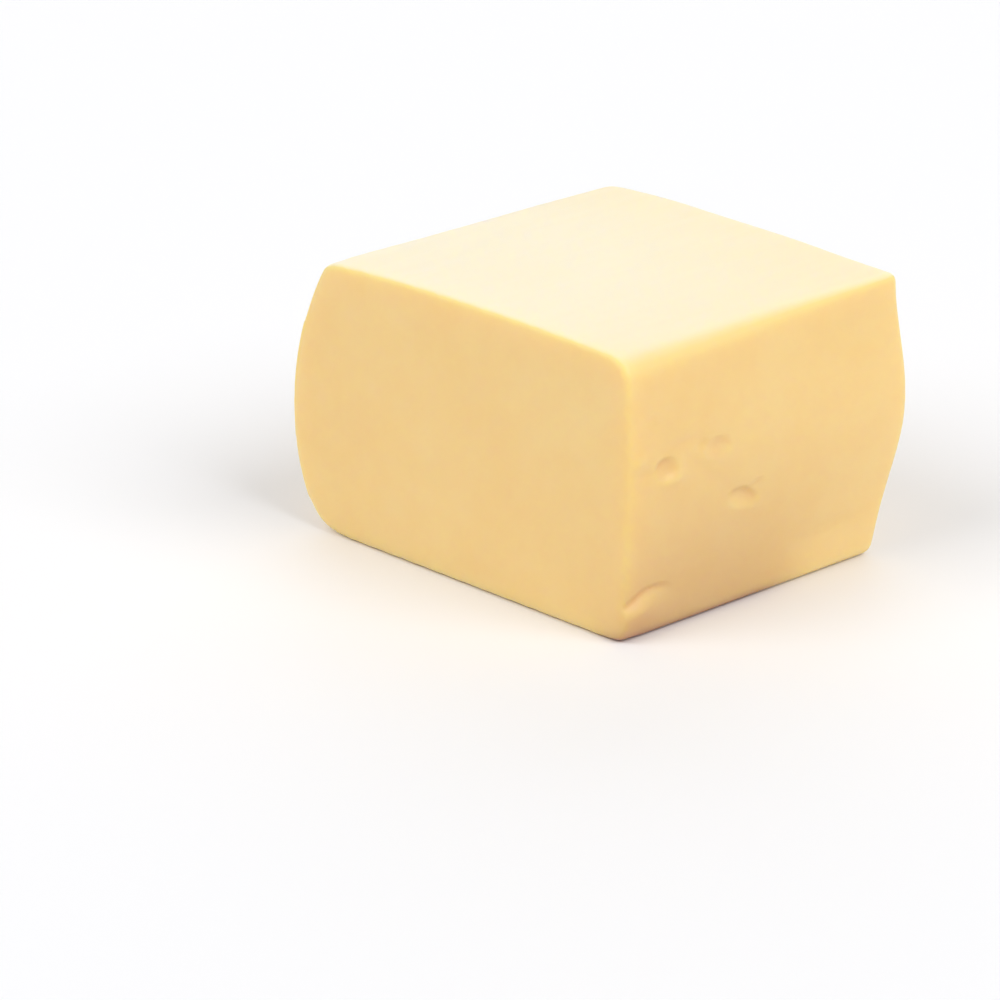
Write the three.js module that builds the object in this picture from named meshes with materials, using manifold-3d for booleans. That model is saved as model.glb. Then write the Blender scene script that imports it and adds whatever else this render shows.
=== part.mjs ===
// Half a loaf of mozzarella, cut across with a knife and standing on its flat underside.
//
// Millimetres. X runs across the cut face, Y along the loaf from the cut at -Y to the loaf's own
// end at +Y, and Z up. The origin is in the middle of the underside.

import * as THREE from "three";
import { mergeVertices } from "three/addons/utils/BufferGeometryUtils.js";
import Module from "manifold-3d";

// The block that the moulded loaf would be with straight sides.
const WIDTH = 139.6;
const LENGTH = 130.4;
const HEIGHT = 100;

// The knife ran a little askew: the cut face moves this far along Y for each millimetre of X.
const CUT_SLANT = 0.056;

// Each side sags outwards between the top and the foot. `swell` is how far it stands out at its
// fullest, `at` the height of that place as a part of the whole, and `peak` how narrow the bulge
// is. `tuck` is how far the foot is drawn in, and `reach` how close to the foot that stays. The end
// swells in its middle and not at its corners.
const LEFT_SIDE = { swell: 18.8, at: 0.39, peak: 0.75, tuck: 0, reach: 3 };
const RIGHT_SIDE_AT_CUT = { swell: 1.3, at: 0.55, peak: 1.25, tuck: 1.7, reach: 2.8 };
const RIGHT_SIDE_AT_END = { swell: 6.9, at: 0.55, peak: 2.2, tuck: 0, reach: 2.8 };
const END = { swell: 4, at: 0.5, peak: 1.2, tuck: 8.2, reach: 3.5 };

// The top stands proud of the corners by CROWN, most of all a little left of the middle.
const CROWN = 2.6;
const CROWN_SHAPE = 2.3;
const CROWN_TO_LEFT = 0.26;
const CROWN_AT_ENDS = 0.7;
const TOP_TILT = 0.4;

// Radii of the rind's edges at the eight corners, and in between they change evenly. The edges that
// the knife made stay sharp.
const RADII_AT_CUT = { topLeft: 2.5, topRight: 10.6, footLeft: 6, footRight: 4 };
const RADII_AT_END = { topLeft: 7, topRight: 2.7, footLeft: 10, footRight: 4 };

// Eyes, the dimples that gas leaves under the rind. Places are along a side and up from the
// underside; `lean` turns an eye, in degrees.
const EYES = [
  { side: "right", along: 16.9, height: 58.6, width: 11.5, tall: 8.2, depth: 1.8, lean: 12 },
  { side: "right", along: 39.4, height: 61, width: 12.5, tall: 8, depth: 1.5, lean: 4 },
  { side: "right", along: 32.5, height: 63.2, width: 8, tall: 4.4, depth: 0.9, lean: 12 },
  { side: "right", along: 52.4, height: 39.6, width: 14.5, tall: 8.4, depth: 1.8, lean: -12 },
  { side: "right", along: 58.6, height: 43.2, width: 8, tall: 3.8, depth: 0.8, lean: 14 },
  { side: "end", along: 88, height: 55, width: 12, tall: 8.2, depth: 1.7, lean: -8 },
  { side: "end", along: 101, height: 46, width: 8, tall: 5.6, depth: 1.1, lean: 10 },
  { side: "left", along: 84, height: 41, width: 12, tall: 8, depth: 1.6, lean: 6 },
  { side: "left", along: 98, height: 49, width: 8.5, tall: 6, depth: 1.1, lean: -12 },
];

// Each side: the turn about Z that faces it, and the place across and along the block, from -1 to 1,
// of a place measured along the side. That starts at the cut, and on the end at the left side.
const SIDES = {
  right: { turn: 0, place: (along) => [1, (2 * along) / LENGTH - 1] },
  end: { turn: 90, place: (along) => [(2 * along) / WIDTH - 1, 1] },
  left: { turn: 180, place: (along) => [-1, (2 * along) / LENGTH - 1] },
};

// An eye is the cap of an ellipsoid that reaches EYE_CAP degrees from its pole. Its floor lies
// EYE_RISE higher for each millimetre that it is deeper, so an eye is steepest at the top.
const EYE_CAP = 35;
const EYE_RISE = 0.6;

// A crease where the rind folded over in the mould: it starts at the cut, arches over a short roll
// and runs out of the surface. `out` is how far its middle line stands off the side.
const CREASE = [
  { side: "right", along: -1.5, height: 12, out: -0.5 },
  { side: "right", along: 2.5, height: 14.3, out: -0.5 },
  { side: "right", along: 9, height: 16.8, out: -0.4 },
  { side: "right", along: 15.5, height: 17.2, out: -0.1 },
  { side: "right", along: 21, height: 16.2, out: 0.7 },
  { side: "right", along: 26, height: 15.4, out: 2.4 },
];
const CREASE_WIDTH = 2.6;
const CREASE_STEPS = 20;

// The roll below the crease: how far it stands out of the side, and how far it reaches from its
// middle. ROLL_TO_SIDE keeps it to the right side: the more, the less of it is left further in.
const ROLL = { along: 7.5, height: 10, out: 1.6, reach: 11, tall: 5.5 };
const ROLL_TO_SIDE = 8;

// How finely the block is divided, and how much closer the lines run near its edges.
const STEPS = { x: 28, y: 26, z: 26 };
const CLOSER_AT_EDGES = 0.72;
const EYE_STEPS = { around: 24, over: 16 };

const UP = new THREE.Vector3(0, 0, 1);
const HALF = new THREE.Vector3(WIDTH / 2, LENGTH / 2, HEIGHT / 2);
const { clamp, lerp, degToRad } = THREE.MathUtils;

// From -1..1 to -1..1, with the values crowded towards both ends.
function crowd(t) {
  return t + (CLOSER_AT_EDGES * Math.sin(Math.PI * t)) / Math.PI;
}

// How far a side sags outwards at `height`, from 0 at the underside to 1 at the top.
function swell(side, height) {
  const warp = Math.log(0.5) / Math.log(side.at);
  const arch = Math.sin(Math.PI * clamp(height, 0, 1) ** warp);
  return side.swell * Math.max(arch, 0) ** side.peak;
}

// How far a side is drawn in towards its foot.
function tuck(side, height) {
  return side.tuck * (1 - height) ** side.reach;
}

function bow(side, height) {
  return swell(side, height) - tuck(side, height);
}

// How far the roll stands out at a place on the block's right side.
function rollOut(place) {
  const along = (place.y + HALF.y - ROLL.along) / ROLL.reach;
  const up = (place.z + HALF.z - ROLL.height) / ROLL.tall;
  return ROLL.out * Math.exp(-(along ** 2) - up ** 2);
}

// The radius that the edges near a place in the block have, the place given as -1..1 each way.
function edgeRadius(u, v, w) {
  const [right, far, high] = [u, v, w].map((t) => (t + 1) / 2);
  const at = (corner) => lerp(RADII_AT_CUT[corner], RADII_AT_END[corner], far);
  const foot = lerp(at("footLeft"), at("footRight"), right);
  const top = lerp(at("topLeft"), at("topRight"), right);
  return lerp(foot, top, high);
}

// Rounds every edge of the straight block but the knife's own.
function roundEdges(point, radius) {
  const core = new THREE.Vector3(
    clamp(point.x, radius - HALF.x, HALF.x - radius),
    Math.min(point.y, HALF.y - radius),
    clamp(point.z, radius - HALF.z, HALF.z - radius),
  );
  const out = point.clone().sub(core);
  const reach = Math.max(Math.abs(out.x), Math.abs(out.y), Math.abs(out.z));
  return reach > 0 ? core.add(out.setLength(reach)) : point;
}

// Moves a place in the block, given as -1..1 each way, to where it lies in the sagging loaf.
function loafPoint(u, v, w) {
  const block = roundEdges(new THREE.Vector3(u, v, w).multiply(HALF), edgeRadius(u, v, w));
  const across = block.x / HALF.x;
  const right = (across + 1) / 2;
  const far = (block.y / HALF.y + 1) / 2;
  const height = (block.z / HALF.z + 1) / 2;

  const rightBow = lerp(bow(RIGHT_SIDE_AT_CUT, height), bow(RIGHT_SIDE_AT_END, height), far);
  const side = right * rightBow + right ** ROLL_TO_SIDE * rollOut(block);
  const x = block.x + side - (1 - right) * bow(LEFT_SIDE, height);

  const endBow = swell(END, height) * (1 - across ** 2) - tuck(END, height);
  const y = block.y + far * endBow + (1 - far) * CUT_SLANT * x;

  const offCrown = Math.abs(across + CROWN_TO_LEFT * (1 - across ** 2)) ** CROWN_SHAPE;
  const crown = CROWN * Math.max(1 - offCrown, 0) + TOP_TILT * across;
  const alongTop = lerp(1, CROWN_AT_ENDS, (2 * far - 1) ** 2);
  const z = block.z + HALF.z + height * crown * alongTop;
  return new THREE.Vector3(x, y, z);
}

// A place on a side, `out` millimetres off the rind.
function onSide({ side, along, height, out = 0 }) {
  const { turn, place } = SIDES[side];
  const off = new THREE.Vector3(out, 0, 0).applyAxisAngle(UP, degToRad(turn));
  return loafPoint(...place(along), (2 * height) / HEIGHT - 1).add(off);
}

function makeLoaf() {
  const box = new THREE.BoxGeometry(2, 2, 2, STEPS.x, STEPS.y, STEPS.z);
  const place = box.getAttribute("position");
  for (let i = 0; i < place.count; i++) {
    const [u, v, w] = [place.getX(i), place.getY(i), place.getZ(i)].map(crowd);
    const moved = loafPoint(u, v, w);
    place.setXYZ(i, moved.x, moved.y, moved.z);
  }
  return box;
}

function makeEye(eye) {
  const { x, y, z } = onSide(eye);
  const cap = degToRad(EYE_CAP);
  const deep = eye.depth / (1 - Math.cos(cap));
  const across = 1 / (2 * Math.sin(cap));
  return new THREE.SphereGeometry(1, EYE_STEPS.around, EYE_STEPS.over)
    .rotateZ(Math.PI / 2)
    .scale(deep, eye.width * across, eye.tall * across)
    .translate(deep * Math.cos(cap), 0, 0)
    .applyMatrix4(new THREE.Matrix4().makeShear(0, -EYE_RISE, 0, 0, 0, 0))
    .rotateX(degToRad(eye.lean))
    .rotateZ(degToRad(SIDES[eye.side].turn))
    .translate(x, y, z);
}

function makeCrease() {
  const round = new THREE.Shape().absarc(0, 0, CREASE_WIDTH / 2, 0, 2 * Math.PI);
  return new THREE.ExtrudeGeometry(round, {
    extrudePath: new THREE.CatmullRomCurve3(CREASE.map(onSide)),
    steps: CREASE_STEPS,
    curveSegments: 5,
    bevelEnabled: false,
  });
}

// Closed geometry to a solid that can be cut, and back.
function toSolid(wasm, geometry) {
  const bare = geometry.clone().deleteAttribute("normal").deleteAttribute("uv");
  const merged = mergeVertices(bare, 1e-4);
  return new wasm.Manifold(
    new wasm.Mesh({
      numProp: 3,
      vertProperties: merged.getAttribute("position").array,
      triVerts: new Uint32Array(merged.index.array),
    }),
  );
}

function toGeometry(solid) {
  const { vertProperties, triVerts } = solid.getMesh();
  const geometry = new THREE.BufferGeometry();
  geometry.setAttribute("position", new THREE.BufferAttribute(vertProperties, 3));
  geometry.setIndex(new THREE.BufferAttribute(triVerts, 1));
  geometry.computeVertexNormals();
  return geometry;
}

// Moves the middle of the underside to the origin.
function standOnOrigin(geometry) {
  geometry.computeBoundingBox();
  const { min, max } = geometry.boundingBox;
  return geometry.translate(-(min.x + max.x) / 2, -(min.y + max.y) / 2, -min.z);
}

function makeCheese(wasm) {
  const hollows = [...EYES.map(makeEye), makeCrease()];
  const solid = hollows.reduce(
    (cheese, hollow) => cheese.subtract(toSolid(wasm, hollow)),
    toSolid(wasm, makeLoaf()),
  );
  const rind = new THREE.MeshStandardMaterial({ color: "#f5e0ae", roughness: 0.5, metalness: 0 });
  const cheese = new THREE.Mesh(standOnOrigin(toGeometry(solid)), rind);
  cheese.name = "cheese_half_loaf";
  return cheese;
}

const wasm = await Module();
wasm.setup();

const part = new THREE.Group();
part.add(makeCheese(wasm));

export default part;
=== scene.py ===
"""Half a loaf of mozzarella, cut across and standing on its underside, in soft studio light.

The file is laid out as an add-on: the panel lists the sizes and colours, one operator models the
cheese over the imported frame, and one sets the floor, the light and the camera.
"""

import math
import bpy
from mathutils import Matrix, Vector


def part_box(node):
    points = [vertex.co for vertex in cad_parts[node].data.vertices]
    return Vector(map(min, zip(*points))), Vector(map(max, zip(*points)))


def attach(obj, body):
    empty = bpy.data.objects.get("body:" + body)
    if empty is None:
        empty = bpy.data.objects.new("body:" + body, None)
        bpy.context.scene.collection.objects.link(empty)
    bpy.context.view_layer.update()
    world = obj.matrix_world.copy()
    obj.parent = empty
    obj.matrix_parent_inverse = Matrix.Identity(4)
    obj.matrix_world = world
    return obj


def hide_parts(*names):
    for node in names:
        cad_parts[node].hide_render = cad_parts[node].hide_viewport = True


bl_info = {
    "name": "Mozzarella Half Loaf",
    "version": (1, 0, 0),
    "blender": (4, 5, 0),
    "location": "3D View > Sidebar > Cheese",
    "description": "Models a half loaf of mozzarella over its frame and lights it",
    "category": "Object",
}

import bpy
from mathutils import Vector

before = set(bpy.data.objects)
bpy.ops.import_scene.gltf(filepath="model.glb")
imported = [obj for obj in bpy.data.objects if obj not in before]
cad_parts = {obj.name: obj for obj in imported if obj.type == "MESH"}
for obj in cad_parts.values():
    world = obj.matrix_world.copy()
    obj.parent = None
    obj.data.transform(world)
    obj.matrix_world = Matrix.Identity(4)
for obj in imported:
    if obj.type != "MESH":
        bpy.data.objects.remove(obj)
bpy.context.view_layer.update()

NODE = "cheese_half_loaf"
LOW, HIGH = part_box(NODE)
SIZE = HIGH - LOW
MM = 0.001


# ---------------------------------------------------------------- settings


def length(name, description, default):
    return bpy.props.FloatProperty(
        name=name, description=description, default=default, min=0, precision=5, unit="LENGTH"
    )


def share(name, description, default):
    return bpy.props.FloatProperty(
        name=name, description=description, default=default, min=0, max=1, subtype="FACTOR"
    )


def rounds(name, description, default):
    return bpy.props.IntProperty(name=name, description=description, default=default, min=0)


def number(name, description, default):
    return bpy.props.FloatProperty(name=name, description=description, default=default, min=0)


def colour(name, description, default):
    return bpy.props.FloatVectorProperty(
        name=name, description=description, default=default, size=3, min=0, max=1, subtype="COLOR"
    )


def angle(name, description, degrees):
    return bpy.props.FloatProperty(
        name=name, description=description, default=math.radians(degrees), subtype="ANGLE"
    )


class CheeseForm(bpy.types.PropertyGroup):
    grain: length("Grain", "Size of the cells that the loaf is remade from", 0.8 * MM)
    cut_grain: length("Cut grain", "The same once it is cut, small enough for an even edge", 0.6 * MM)
    soften: rounds("Soften", "Rounds of smoothing over the moulded surface", 5)
    cut_soften: rounds("Cut soften", "Rounds of smoothing once the loaf is cut", 2)
    sag: length("Sag", "Height of the broad unevenness of the rind", 0.7 * MM)
    sag_width: length("Sag width", "Width of one broad swelling of the rind", 38 * MM)
    dimple: length("Dimples", "Height of the small unevenness of the rind", 0.16 * MM)
    dimple_width: length("Dimple width", "Width of one small swelling of the rind", 7 * MM)
    drag: length("Blade drag", "Depth of the marks that the blade left", 0.16 * MM)
    drag_width: length("Drag width", "Width of one mark of the blade", 9 * MM)
    slump: length("Slump", "Smoothed in full this near to the cut, and not past twice that", 5.5 * MM)
    slump_rounds: rounds("Slump rounds", "Rounds of smoothing near the cut", 120)
    most_faces: bpy.props.IntProperty(
        name="Most triangles", description="The finished piece has no more", default=190000, min=1000
    )


class CheeseFinish(bpy.types.PropertyGroup):
    paste: colour("Paste", "Tone of most of the paste", (0.92, 0.667, 0.291))
    deep: colour("Deep paste", "The deeper, more buttery tone of the mottling", (0.905, 0.632, 0.259))
    # Painted light: the rim's yellower tone is a painted band of light along the rounded edge of the
    # top.
    rim: colour("Rim", "The yellower tone of the rounded edge of the top", (0.925, 0.705, 0.295))
    # Painted light: the top's paler tone is a painted sheen over the brightly lit top, fading towards
    # the far end.
    top: colour("Top", "The paler tone of the dried top", (0.965, 0.815, 0.595))
    top_at_rim: share("Top at the rim", "How much of the paler tone is left at the far end", 0.74)
    mottling: length("Mottling", "Width of one blotch of the deeper tone", 45 * MM)
    curd: length("Curd", "Width of one curd, which shows faintly in the blotches", 10 * MM)
    curd_share: share("Curd share", "How much of the mottling is curds and not blotches", 0.35)
    glow_reach: length("Glow reach", "How far light travels inside the paste", 6 * MM)
    roughness: share("Roughness", "Roughness of the moist surface", 0.46)
    fibre: length("Fibre", "Height of the pulled fibres on the cut and along the sides", 0.07 * MM)
    fibre_width: length("Fibre width", "Width of one fibre", 4 * MM)
    pores: length("Pores", "Height of the finest unevenness of the rind", 0.045 * MM)
    pore_width: length("Pore width", "Width of one swelling between the pores", 1.3 * MM)


class Studio(bpy.types.PropertyGroup):
    lens: bpy.props.FloatProperty(
        name="Lens", description="Focal length on a 36 mm sensor", default=162, min=1, unit="CAMERA"
    )
    target: bpy.props.FloatVectorProperty(
        name="Target",
        description="The point that the camera looks at",
        default=(-25.77 * MM, -23.32 * MM, 11.92 * MM),
        subtype="TRANSLATION",
        unit="LENGTH",
    )
    azimuth: angle("Azimuth", "Turn of the camera from the front, towards the right", 47.58)
    elevation: angle("Elevation", "Height of the camera as an angle", 21.93)
    distance: length("Distance", "From the camera to its target", 1.56026)
    floor_tone: colour("Floor", "Colour of the floor", (0.92, 0.92, 0.935))
    floor_width: length("Floor width", "Width of the floor", 12.0)
    bounce_tone: colour("Bounce", "What the dim part of the floor throws back", (0.32, 0.14, 0.22))
    bounce_middle: bpy.props.FloatVectorProperty(
        name="Bounce middle",
        description="Middle of the dim part of the floor, beside the right foot",
        default=(96 * MM, -32 * MM, 0),
        subtype="TRANSLATION",
        unit="LENGTH",
    )
    bounce_width: length("Bounce width", "From the middle of the dim part to its long side", 44 * MM)
    bounce_length: length("Bounce length", "From the middle of the dim part to its end", 66 * MM)
    sky: number("Sky", "Strength of the even light from all round", 0.42)
    lamps: number("Lamps", "Strength of the soft lamps, as a share of their own", 1.0)


# ---------------------------------------------------------------- modelling helpers


def only(obj):
    """Selects obj alone and makes it the active object."""
    bpy.ops.object.select_all(action="DESELECT")
    obj.select_set(True)
    bpy.context.view_layer.objects.active = obj


def apply_modifier(obj, kind, **settings):
    only(obj)
    modifier = obj.modifiers.new(kind.title(), kind)
    for key, value in settings.items():
        setattr(modifier, key, value)
    bpy.ops.object.modifier_apply(modifier=modifier.name)


def in_edit_mode(obj, *steps):
    """Runs each step in edit mode on what is selected in obj."""
    only(obj)
    bpy.ops.object.mode_set(mode="EDIT")
    bpy.ops.mesh.select_mode(type="FACE")
    for step in steps:
        step()
    bpy.ops.object.mode_set(mode="OBJECT")


def select_faces(obj, wanted):
    """Selects the faces whose middle and normal pass the test, and nothing else."""
    faces = obj.data.polygons
    obj.data.vertices.foreach_set("select", [False] * len(obj.data.vertices))
    obj.data.edges.foreach_set("select", [False] * len(obj.data.edges))
    faces.foreach_set("select", [bool(wanted(face.center, face.normal)) for face in faces])


def vertex_group(obj, name, weight):
    """A vertex group whose weight is worked out from each vertex's place and normal."""
    group = obj.vertex_groups.new(name=name)
    for vertex in obj.data.vertices:
        value = weight(vertex.co, vertex.normal)
        if value > 0:
            group.add([vertex.index], min(value, 1), "REPLACE")
    return group.name


def clouds(name, width, depth=2):
    texture = bpy.data.textures.new(name, "CLOUDS")
    texture.noise_scale = width
    texture.noise_depth = depth
    texture.noise_basis = "IMPROVED_PERLIN"
    return texture


# ---------------------------------------------------------------- the cheese

SAME_PLACE = 0.001 * MM  # corners nearer than this are one corner
STILL_FOOT = 0.5 * MM  # the rind stays as moulded up to this height, so the loaf stands flat
DRAWN_OUT = 12 * MM  # how far the loaf runs on past the cut until it is cut
KNIFE_DEPTH = 40 * MM  # of the slab that cuts, which is deeper than what is drawn out
KNIFE_WIDTH = 1.5 * SIZE.x  # wider and taller than the loaf, so that the slab cuts it through
KNIFE_HEIGHT = 1.8 * SIZE.z
KNIFE_CUTS = 120  # across the blade's face, so that its marks come out smooth
ON_FACE = 0.1 * MM  # what is nearer than this to a flat face lies on it
SAME_WAY = 0.99  # faces whose normals agree by more than this face the same way
FADED = 3  # a spot of low relief ends this many times its reach away from its middle
SIDEWAYS = (0.5, 0.75)  # how far a face looks sideways where low relief starts and where it is full

# Low relief on the sides: the place of its middle from the cut and up from the underside, how far
# it reaches along and across its own length, how far it stands out, or goes in below 0, all in mm,
# and how many degrees its far end leans up.
RELIEF = {
    "right": {
        "first lip": {"at": (19, 54.6), "reach": (4.6, 2.2), "out": 0.95, "lean": 8},
        "second lip": {"at": (41.5, 59.2), "reach": (3.8, 2.6), "out": 0.65, "lean": 0},
        "third lip": {"at": (55.5, 36), "reach": (4.2, 2.4), "out": 0.45, "lean": -8},
        "first filling": {"at": (20.4, 59), "reach": (2.8, 3.4), "out": 0.75, "lean": 0},
        "first hollow": {"at": (13.6, 60.4), "reach": (3.4, 2.2), "out": -0.8, "lean": 30},
        "fold over both": {"at": (25, 66.5), "reach": (9, 2.6), "out": -0.6, "lean": 8},
        "trough to the third": {"at": (34, 53), "reach": (13, 3.2), "out": -0.5, "lean": -38},
        "third filling": {"at": (48.4, 39), "reach": (4, 3), "out": 0.6, "lean": -12},
        "pimple": {"at": (3.8, 64), "reach": (2.6, 2.4), "out": 0.9, "lean": 0},
        "dent by the pimple": {"at": (6.4, 58.8), "reach": (3.4, 2), "out": -0.4, "lean": 0},
        "pinprick": {"at": (10, 77.4), "reach": (3, 1.5), "out": -0.5, "lean": 0},
        "start of the crease": {"at": (4, 14.6), "reach": (4.5, 1.3), "out": -0.7, "lean": 30},
        "roll under the crease": {"at": (7, 11), "reach": (5, 2), "out": 0.5, "lean": 20},
        "hollow foot": {"at": (93, 16), "reach": (17, 5), "out": -1.1, "lean": 4},
    },
    "left": {
        "full shoulder": {"at": (3, 68), "reach": (16, 30), "out": 1.0, "lean": 0},
        "first lip": {"at": (84, 36.6), "reach": (5, 2.4), "out": 0.4, "lean": 6},
        "low hollow": {"at": (40, 30), "reach": (22, 6), "out": -0.7, "lean": -12},
        "high hollow": {"at": (58, 70), "reach": (16, 5), "out": -0.6, "lean": 20},
    },
}


def cut_plane(node):
    """Middle and outward normal of the flat face that the knife made, read from the frame."""
    faces = [f for f in node.data.polygons if f.normal.y < -SAME_WAY]
    area = sum(f.area for f in faces)
    middle = sum((f.center * f.area for f in faces), Vector()) / area
    normal = sum((f.normal * f.area for f in faces), Vector()).normalized()
    return middle, normal


def copy_of_node():
    block = bpy.data.objects.new("mozzarella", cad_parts[NODE].data.copy())
    bpy.context.scene.collection.objects.link(block)
    block.data.materials.clear()
    return block


def merge_corners(block):
    in_edit_mode(
        block,
        lambda: bpy.ops.mesh.select_all(action="SELECT"),
        lambda: bpy.ops.mesh.remove_doubles(threshold=SAME_PLACE),
        lambda: bpy.ops.mesh.select_all(action="DESELECT"),
    )


def longer_past_cut(block, normal):
    """Draws the cut face out, so that the smoothing rounds an edge that is cut away later."""
    select_faces(block, lambda middle, n: n.dot(normal) > SAME_WAY)
    move = {"value": normal * DRAWN_OUT}
    in_edit_mode(
        block, lambda: bpy.ops.mesh.extrude_region_move(TRANSFORM_OT_translate=move)
    )


def knife(middle, normal, form):
    """A slab in front of the cut, with the marks of the blade on the face towards the loaf."""
    bpy.ops.object.select_all(action="DESELECT")
    bpy.ops.mesh.primitive_cube_add(size=1)
    slab = bpy.context.object
    slab.name = "knife"
    slab.scale = (KNIFE_WIDTH, KNIFE_DEPTH, KNIFE_HEIGHT)
    slab.rotation_euler.z = math.atan2(normal.x, -normal.y)
    slab.location = middle + normal * KNIFE_DEPTH / 2
    only(slab)
    bpy.ops.object.transform_apply(location=True, rotation=True, scale=True)
    select_faces(slab, lambda centre, n: n.dot(normal) < -SAME_WAY)
    in_edit_mode(slab, lambda: bpy.ops.mesh.subdivide(number_cuts=KNIFE_CUTS))
    blade = vertex_group(
        slab, "blade", lambda co, n: 1 if abs((co - middle).dot(normal)) < ON_FACE else 0
    )
    marks = clouds("blade_marks", form.drag_width)
    apply_modifier(
        slab, "DISPLACE", texture=marks, vertex_group=blade, strength=form.drag, mid_level=0.5
    )
    return slab


def relief(side, from_cut, height, sign):
    """How far the relief of that sign moves a place on that side, in mm."""
    moved = 0
    for spot in RELIEF[side].values():
        if spot["out"] * sign > 0:
            away = Vector((from_cut, height)) - Vector(spot["at"])
            lean = math.radians(spot["lean"])
            along = away.dot((math.cos(lean), math.sin(lean))) / spot["reach"][0]
            across = away.dot((-math.sin(lean), math.cos(lean))) / spot["reach"][1]
            if abs(along) < FADED and abs(across) < FADED:
                moved += abs(spot["out"]) * math.exp(-along * along - across * across)
    return moved


def remake(block, grain, smoothing):
    apply_modifier(block, "REMESH", mode="VOXEL", voxel_size=grain, use_smooth_shade=True)
    apply_modifier(block, "SMOOTH", factor=0.5, iterations=smoothing)


def make_rind_uneven(block, form):
    def on_rind(co, n):
        return 1 - max(-n.z, 0) ** 2 if co.z > STILL_FOOT else 0

    rind = vertex_group(block, "rind", on_rind)
    for texture, height in (
        (clouds("sag", form.sag_width, 1), form.sag),
        (clouds("dimples", form.dimple_width), form.dimple),
    ):
        apply_modifier(
            block, "DISPLACE", texture=texture, vertex_group=rind, strength=height, mid_level=0.5
        )


def cut_across(block, middle, normal, form):
    """Cuts the loaf, and smooths it near the cut so that the sharp edge slumps."""
    slab = knife(middle, normal, form)
    apply_modifier(block, "BOOLEAN", operation="DIFFERENCE", object=slab, solver="MANIFOLD")
    bpy.data.objects.remove(slab)
    block.data.materials.clear()
    remake(block, form.cut_grain, form.cut_soften)
    slump = vertex_group(
        block, "slump", lambda co, n: 2 - abs((co - middle).dot(normal)) / form.slump
    )
    apply_modifier(block, "SMOOTH", vertex_group=slump, factor=0.5, iterations=form.slump_rounds)


def add_relief(block, middle, normal):
    start, full = SIDEWAYS

    def on_sides(co, n, sign):
        sideways = (abs(n.x) - start) / (full - start)
        if sideways < 0:
            return 0
        side = "right" if n.x > 0 else "left"
        moved = relief(side, (co - middle).dot(-normal) / MM, (co.z - LOW.z) / MM, sign)
        return moved * min(sideways, 1)

    for name, sign in (("raised", 1), ("sunken", -1)):
        group = vertex_group(block, name, lambda co, n: on_sides(co, n, sign))
        apply_modifier(block, "DISPLACE", vertex_group=group, strength=sign * MM, mid_level=0)


def limit_triangles(block, most):
    triangles = sum(len(face.vertices) - 2 for face in block.data.polygons)
    if triangles > most:
        apply_modifier(block, "DECIMATE", ratio=most / triangles)


def make_cheese(form):
    middle, normal = cut_plane(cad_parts[NODE])
    block = copy_of_node()
    merge_corners(block)
    longer_past_cut(block, normal)
    remake(block, form.grain, form.soften)
    make_rind_uneven(block, form)
    cut_across(block, middle, normal, form)
    add_relief(block, middle, normal)
    limit_triangles(block, form.most_faces)
    block.vertex_groups.clear()
    only(block)
    bpy.ops.object.shade_smooth()
    return block


# ---------------------------------------------------------------- shader nodes


class Nodes:
    """Short calls that add shader nodes to one material and link them."""

    def __init__(self, material):
        material.use_nodes = True
        self.tree = material.node_tree
        self.shader = self.tree.nodes["Principled BSDF"]

    def add(self, kind, inputs=None, **settings):
        node = self.tree.nodes.new("ShaderNode" + kind)
        for key, value in settings.items():
            setattr(node, key, value)
        for name, value in (inputs or {}).items():
            self.feed(node.inputs[name], value)
        return node

    def feed(self, socket, value):
        if isinstance(value, bpy.types.NodeSocket):
            self.tree.links.new(value, socket)
        else:
            socket.default_value = value

    def noise(self, place, width, detail=2.0):
        """Noise whose blotches are about `width` metres across, from 0 to 1."""
        inputs = {"Vector": place, "Scale": 1 / width, "Detail": detail}
        return self.add("TexNoise", inputs).outputs["Fac"]

    def stretched(self, place, scale, shift=(0, 0, 0)):
        inputs = {"Vector": place, "Scale": scale, "Location": shift}
        return self.add("Mapping", inputs).outputs["Vector"]

    def bump(self, height, distance, normal=None):
        """Relief `distance` metres high over the surface, or over the normal of another bump."""
        inputs = {"Height": height, "Distance": distance}
        if normal:
            inputs["Normal"] = normal
        return self.add("Bump", inputs).outputs["Normal"]

    def ramp(self, value, start, end, low=0.0, high=1.0):
        """`low` up to `start`, `high` from `end` on, and a soft slope between."""
        ends = {"From Min": start, "From Max": end, "To Min": low, "To Max": high}
        node = self.add("MapRange", {"Value": value, **ends}, interpolation_type="SMOOTHSTEP")
        return node.outputs["Result"]

    def length_of(self, vector):
        return self.add("VectorMath", {"Vector": vector}, operation="LENGTH").outputs["Value"]

    def times(self, one, other):
        node = self.add("Math", operation="MULTIPLY")
        self.feed(node.inputs[0], one)
        self.feed(node.inputs[1], other)
        return node.outputs["Value"]

    def mix(self, factor, one, other):
        node = self.add("Mix", data_type="RGBA")
        self.feed(node.inputs["Factor"], factor)
        self.feed(node.inputs["A"], one)
        self.feed(node.inputs["B"], other)
        return node.outputs["Result"]


# ---------------------------------------------------------------- the paste

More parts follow.
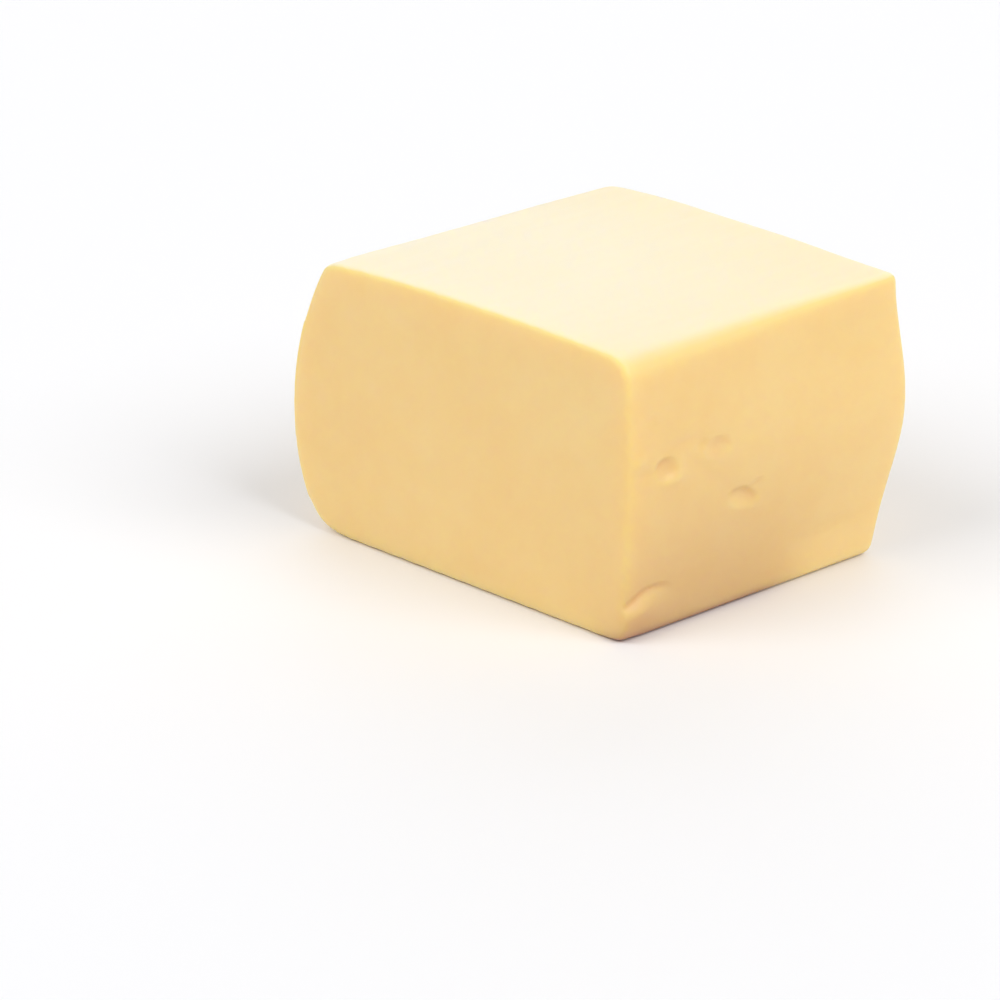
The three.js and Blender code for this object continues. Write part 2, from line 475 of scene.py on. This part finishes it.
SOFT_EDGES = (0.3, 0.7)  # levels of noise between which one tone turns into the other
CRISP_EDGES = (0.35, 0.65)  # the same where the tones meet more sharply
TOP_EDGE = (0.76, 0.95)  # shares of the height between which the paste turns into the painted light of the top
LIT_EDGE_FACING = (0.1, 0.6)  # how far a face looks up where the painted edge light starts and is full
SHEEN_FACING = (0.58, 0.98)  # the same for the painted sheen of the top
CUT_FACING = (-0.8, -0.95)  # how far a face looks along Y where the cut's fibres start and are full
PALEST = (-0.2, -0.45)  # the palest place of the painted sheen on the top, in halves of its width and its length
PALE_REACH = (0.4, 1.6)  # from there to where the painted sheen begins to go out and to where it has
FIBRE_NARROWNESS = 0.12  # width of a fibre as a share of its length
ROUGHNESS_PLAY = 0.05  # the fibres change the roughness by this much up and down
GLOW_COLOURS = (0.97, 1.03, 0.3)  # how far red, green and blue light travel, times the reach


def paste_tone(nodes, place, facing, finish):
    """Mottled paste, with painted light on the top: a yellow band on the rounded edge and a pale
    sheen where the top is brightly lit.
    """
    blotches = nodes.ramp(nodes.noise(place, finish.mottling), *SOFT_EDGES)
    curds = nodes.ramp(nodes.noise(place, finish.curd), *CRISP_EDGES)
    deepness = nodes.mix(finish.curd_share, blotches, curds)
    paste = nodes.mix(deepness, (*finish.paste, 1), (*finish.deep, 1))

    height = nodes.add("SeparateXYZ", {"Vector": place}).outputs["Z"]
    near_top = nodes.ramp(height, *(level * HIGH.z for level in TOP_EDGE))
    # Painted light: a yellower band on the rounded edge of the top, where light catches it.
    lit_edge = nodes.ramp(facing.outputs["Z"], *LIT_EDGE_FACING)
    paste = nodes.mix(nodes.times(lit_edge, near_top), paste, (*finish.rim, 1))

    # Painted sheen: the brightly lit top is painted palest towards the cut and the left, and the
    # sheen goes out towards the far end.
    up = nodes.ramp(facing.outputs["Z"], *SHEEN_FACING)
    on_top = nodes.stretched(place, (2 / SIZE.x, 2 / SIZE.y, 0), (-PALEST[0], -PALEST[1], 0))
    highlit = nodes.ramp(nodes.length_of(on_top), *PALE_REACH, 1.0, finish.top_at_rim)
    pale = nodes.times(nodes.times(up, near_top), highlit)
    return nodes.mix(pale, paste, (*finish.top, 1))


def pulled_fibres(nodes, place, facing, finish):
    """On the cut the fibres run upwards, and over the rest they run along the loaf."""
    on_cut = nodes.ramp(facing.outputs["Y"], *CUT_FACING)
    upright = nodes.stretched(place, (1, 1, FIBRE_NARROWNESS))
    lengthwise = nodes.stretched(place, (1, FIBRE_NARROWNESS, 1))
    return nodes.mix(
        on_cut,
        nodes.noise(lengthwise, finish.fibre_width),
        nodes.noise(upright, finish.fibre_width),
    )


def cheese_material(finish):
    material = bpy.data.materials.new("mozzarella_paste")
    nodes = Nodes(material)
    place = nodes.add("TexCoord").outputs["Object"]
    facing = nodes.add("SeparateXYZ", {"Vector": nodes.add("NewGeometry").outputs["Normal"]})
    fibres = pulled_fibres(nodes, place, facing, finish)
    pores = nodes.noise(place, finish.pore_width, detail=3)
    smoothest = finish.roughness - ROUGHNESS_PLAY
    roughest = finish.roughness + ROUGHNESS_PLAY
    normal = nodes.bump(pores, finish.pores, nodes.bump(fibres, finish.fibre))

    shader = nodes.shader
    nodes.feed(shader.inputs["Base Color"], paste_tone(nodes, place, facing, finish))
    nodes.feed(shader.inputs["Roughness"], nodes.ramp(fibres, *SOFT_EDGES, smoothest, roughest))
    nodes.feed(shader.inputs["Normal"], normal)
    shader.inputs["Subsurface Weight"].default_value = 1
    shader.inputs["Subsurface Scale"].default_value = finish.glow_reach
    shader.inputs["Subsurface Radius"].default_value = GLOW_COLOURS
    return material


class CHEESE_OT_half_loaf(bpy.types.Operator):
    """Models the half loaf over its frame, with eyes, crease and the marks of the knife"""

    bl_idname = "cheese.half_loaf"
    bl_label = "Half Loaf"

    def execute(self, context):
        block = make_cheese(context.scene.cheese_form)
        block.data.materials.append(cheese_material(context.scene.cheese_finish))
        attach(block, "root")
        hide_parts(NODE)
        return {"FINISHED"}


# ---------------------------------------------------------------- the studio

SENSOR = 36  # width in mm that the lens's focal length is given for
BOUNCE_FULL = 0.65  # how far out the dim part of the floor is at its dimmest, as a share
FLOOR_ROUGHNESS = 0.6
WHITE = (1, 1, 1, 1)

# The soft lamps: strength, turn from the front towards the right, height and width, in degrees.
LAMPS = (
    ("right", 1.5, 100, 45, 40),
    ("front", 1.14, -18, 45, 40),
    ("back", 0.6, 225, 20, 60),
)


def direction(azimuth, elevation):
    """Unit vector from the middle of the scene towards a place all round and above it."""
    level = math.cos(elevation)
    return Vector((math.sin(azimuth) * level, -math.cos(azimuth) * level, math.sin(elevation)))


def add_lamp(name, strength, azimuth, elevation, softness):
    data = bpy.data.lights.new(name, "SUN")
    data.energy = strength
    data.angle = math.radians(softness)
    light = bpy.data.objects.new(name, data)
    towards = direction(math.radians(azimuth), math.radians(elevation))
    light.rotation_euler = towards.to_track_quat("Z", "Y").to_euler()
    bpy.context.scene.collection.objects.link(light)


def add_camera(studio):
    data = bpy.data.cameras.new("camera")
    data.sensor_width = SENSOR
    data.lens = studio.lens
    camera = bpy.data.objects.new("camera", data)
    back = direction(studio.azimuth, studio.elevation)
    camera.location = Vector(studio.target) + back * studio.distance
    camera.rotation_euler = back.to_track_quat("Z", "Y").to_euler()
    bpy.context.scene.collection.objects.link(camera)
    bpy.context.scene.camera = camera


def floor_material(studio):
    """A pale floor. Beside the right foot it throws back less light, so the foot of that side stays
    dimmer and warmer than the rest."""
    material = bpy.data.materials.new("floor_finish")
    nodes = Nodes(material)
    place = nodes.add("TexCoord").outputs["Object"]
    size = (1 / studio.bounce_width, 1 / studio.bounce_length, 0)
    shift = [-middle * scale for middle, scale in zip(studio.bounce_middle, size)]
    away = nodes.length_of(nodes.stretched(place, size, shift))
    near = nodes.ramp(away, 1.0, BOUNCE_FULL)
    bounced = nodes.add("LightPath").outputs["Is Diffuse Ray"]
    tone = nodes.mix(
        nodes.times(near, bounced), (*studio.floor_tone, 1), (*studio.bounce_tone, 1)
    )
    nodes.feed(nodes.shader.inputs["Base Color"], tone)
    nodes.shader.inputs["Roughness"].default_value = FLOOR_ROUGHNESS
    return material


class CHEESE_OT_studio(bpy.types.Operator):
    """Lays the floor and sets the lights and the camera"""

    bl_idname = "cheese.studio"
    bl_label = "Studio"

    def execute(self, context):
        scene = context.scene
        studio = scene.cheese_studio
        bpy.ops.object.select_all(action="DESELECT")
        bpy.ops.mesh.primitive_plane_add(size=studio.floor_width, location=(0, 0, LOW.z))
        floor = context.object
        floor.name = "floor"
        floor.data.materials.append(floor_material(studio))

        world = bpy.data.worlds.new("studio_sky")
        world.use_nodes = True
        sky = world.node_tree.nodes["Background"]
        sky.inputs["Strength"].default_value = studio.sky
        sky.inputs["Color"].default_value = WHITE
        scene.world = world
        for name, strength, *place in LAMPS:
            add_lamp(name, studio.lamps * strength, *place)
        add_camera(studio)
        scene.view_settings.view_transform = "Standard"
        return {"FINISHED"}


class CHEESE_PT_panel(bpy.types.Panel):
    bl_idname = "CHEESE_PT_panel"
    bl_label = "Mozzarella"
    bl_space_type = "VIEW_3D"
    bl_region_type = "UI"
    bl_category = "Cheese"

    def draw(self, context):
        for group in GROUPS:
            settings = getattr(context.scene, group)
            for name in settings.__annotations__:
                self.layout.prop(settings, name)
        for operator in OPERATORS:
            self.layout.operator(operator.bl_idname)


GROUPS = {"cheese_form": CheeseForm, "cheese_finish": CheeseFinish, "cheese_studio": Studio}
OPERATORS = (CHEESE_OT_half_loaf, CHEESE_OT_studio)


def register():
    for cls in (*GROUPS.values(), *OPERATORS, CHEESE_PT_panel):
        bpy.utils.register_class(cls)
    for name, cls in GROUPS.items():
        setattr(bpy.types.Scene, name, bpy.props.PointerProperty(type=cls))


def unregister():
    for name in GROUPS:
        delattr(bpy.types.Scene, name)
    for cls in (CHEESE_PT_panel, *reversed(OPERATORS), *reversed(GROUPS.values())):
        bpy.utils.unregister_class(cls)


def main():
    register()
    bpy.ops.cheese.half_loaf()
    bpy.ops.cheese.studio()


if __name__ == "__main__":
    main()
